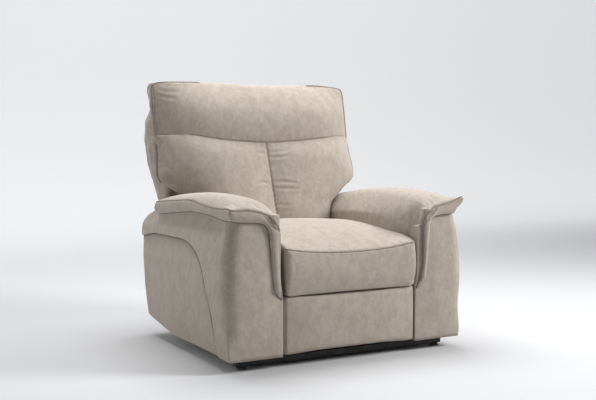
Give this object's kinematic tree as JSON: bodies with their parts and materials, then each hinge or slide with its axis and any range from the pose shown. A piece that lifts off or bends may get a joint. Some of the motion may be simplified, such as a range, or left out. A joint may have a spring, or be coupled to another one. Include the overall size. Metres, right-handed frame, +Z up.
{
  "type": "glider nursery chair",
  "caption": "Upholstered glider recliner with pillow arms, a wide two-tier cushioned back, a swing-out footrest and a hidden link-hung gliding base.",
  "frame": {"origin": "on the floor under the middle of the chair's overall box", "axes": "+Z up, -Y is the way the sitter faces, +X is the sitter's left"},
  "size_m": [0.98, 0.95, 1.045],
  "materials": {
    "suede": "matte",
    "webbing": "matte",
    "black_steel": "satin",
    "zinc_steel": "satin",
    "timber": "matte",
    "dark_plastic": "matte"
  },
  "bodies": {
    "base": {"base_front_tube": "black_steel", "base_rear_tube": "black_steel", "base_side_tube_left": "black_steel", "base_side_tube_right": "black_steel", "swing_post_front_left": "black_steel", "swing_post_front_right": "black_steel", "swing_post_rear_left": "black_steel", "swing_post_rear_right": "black_steel", "floor_glide_front_left": "dark_plastic", "floor_glide_front_right": "dark_plastic", "floor_glide_rear_left": "dark_plastic", "floor_glide_rear_right": "dark_plastic"},
    "front_swing_links": {"swing_link_front_left": "zinc_steel", "swing_link_front_right": "zinc_steel"},
    "rear_swing_links": {"swing_link_rear_left": "zinc_steel", "swing_link_rear_right": "zinc_steel"},
    "chair": {"carriage_rail_left": "black_steel", "carriage_rail_right": "black_steel", "mechanism_plate_left": "black_steel", "mechanism_plate_right": "black_steel", "seat_front_rail": "timber", "seat_rear_rail": "timber", "seat_spring_1": "zinc_steel", "seat_spring_2": "zinc_steel", "seat_spring_3": "zinc_steel", "seat_cushion": "suede", "arm_board_left": "timber", "arm_board_right": "timber", "arm_cover_left": "suede", "arm_cover_right": "suede", "arm_pillow_left": "suede", "arm_pillow_right": "suede", "rear_apron": "suede", "release_bezel": "dark_plastic", "release_cable": "dark_plastic"},
    "back": {"back_stile_left": "timber", "back_stile_right": "timber", "back_hinge_plate_left": "black_steel", "back_hinge_plate_right": "black_steel", "back_top_rail": "timber", "back_bottom_rail": "timber", "back_webbing": "webbing", "lumbar_cushion": "suede", "head_cushion": "suede", "back_shell": "suede"},
    "footrest_cranks": {"crank_link_left": "zinc_steel", "crank_link_right": "zinc_steel", "torque_tube": "black_steel"},
    "footrest_guide_links": {"guide_link_left": "zinc_steel", "guide_link_right": "zinc_steel"},
    "footrest_front_links": {"front_link_left": "zinc_steel", "front_link_right": "zinc_steel"},
    "footrest_control_links": {"control_link_left": "zinc_steel", "control_link_right": "zinc_steel"},
    "footrest": {"footrest_bracket_left": "black_steel", "footrest_bracket_right": "black_steel", "footrest_board": "timber", "footrest_pad": "suede"},
    "release_pull": {"release_pull": "dark_plastic"},
    "latch_pawl": {"latch_pawl": "zinc_steel"}
  },
  "joints": [
    {"name": "glide", "type": "hinge", "parent": "base", "child": "front_swing_links", "pos_m": [0, -0.14, 0.245], "axis": [1, 0, 0], "range_deg": [-18, 18]},
    {"name": "glide_carriage", "type": "hinge", "parent": "front_swing_links", "child": "chair", "pos_m": [0, -0.14, 0.09], "axis": [1, 0, 0], "range_deg": [-18, 18]},
    {"name": "glide_rear", "type": "hinge", "parent": "base", "child": "rear_swing_links", "pos_m": [0, 0.14, 0.245], "axis": [1, 0, 0], "range_deg": [-18, 18]},
    {"name": "recline", "type": "hinge", "parent": "chair", "child": "back", "pos_m": [0, 0.175, 0.35], "axis": [-1, 0, 0], "range_deg": [0, 30]},
    {"name": "footrest", "type": "hinge", "parent": "chair", "child": "footrest_cranks", "pos_m": [0, -0.255, 0.245], "axis": [-1, 0, 0], "range_deg": [0, 90]},
    {"name": "footrest_guide", "type": "hinge", "parent": "chair", "child": "footrest_guide_links", "pos_m": [0, -0.2873, 0.27184], "axis": [-1, 0, 0], "range_deg": [0, 90]},
    {"name": "footrest_front", "type": "hinge", "parent": "footrest_cranks", "child": "footrest_front_links", "pos_m": [0, -0.21, 0.06041], "axis": [-1, 0, 0], "range_deg": [-90, 0]},
    {"name": "footrest_control", "type": "hinge", "parent": "footrest_cranks", "child": "footrest_control_links", "pos_m": [0, -0.22066, 0.10413], "axis": [-1, 0, 0], "range_deg": [-90, 0]},
    {"name": "footrest_tilt", "type": "hinge", "parent": "footrest_front_links", "child": "footrest", "pos_m": [0, -0.378, 0.2], "axis": [-1, 0, 0], "range_deg": [0, 90]},
    {"name": "release", "type": "slide", "parent": "chair", "child": "release_pull", "axis": [1, 0, 0], "range_m": [0, 0.018], "stiffness_N_per_m": 300, "springref_m": -0.01},
    {"name": "latch", "type": "hinge", "parent": "chair", "child": "latch_pawl", "pos_m": [0, -0.19, 0.325], "axis": [-1, 0, 0], "range_deg": [0, 12]}
  ],
  "couplings": [
    {"joint": "glide_carriage", "follows": "glide", "ratio": -1},
    {"joint": "glide_rear", "follows": "glide", "ratio": 1},
    {"joint": "footrest_guide", "follows": "footrest", "ratio": 1},
    {"joint": "footrest_front", "follows": "footrest", "ratio": -1},
    {"joint": "footrest_control", "follows": "footrest", "ratio": -1},
    {"joint": "footrest_tilt", "follows": "footrest", "ratio": 1},
    {"joint": "latch", "follows": "release", "rad_per_m": 11.624}
  ]
}
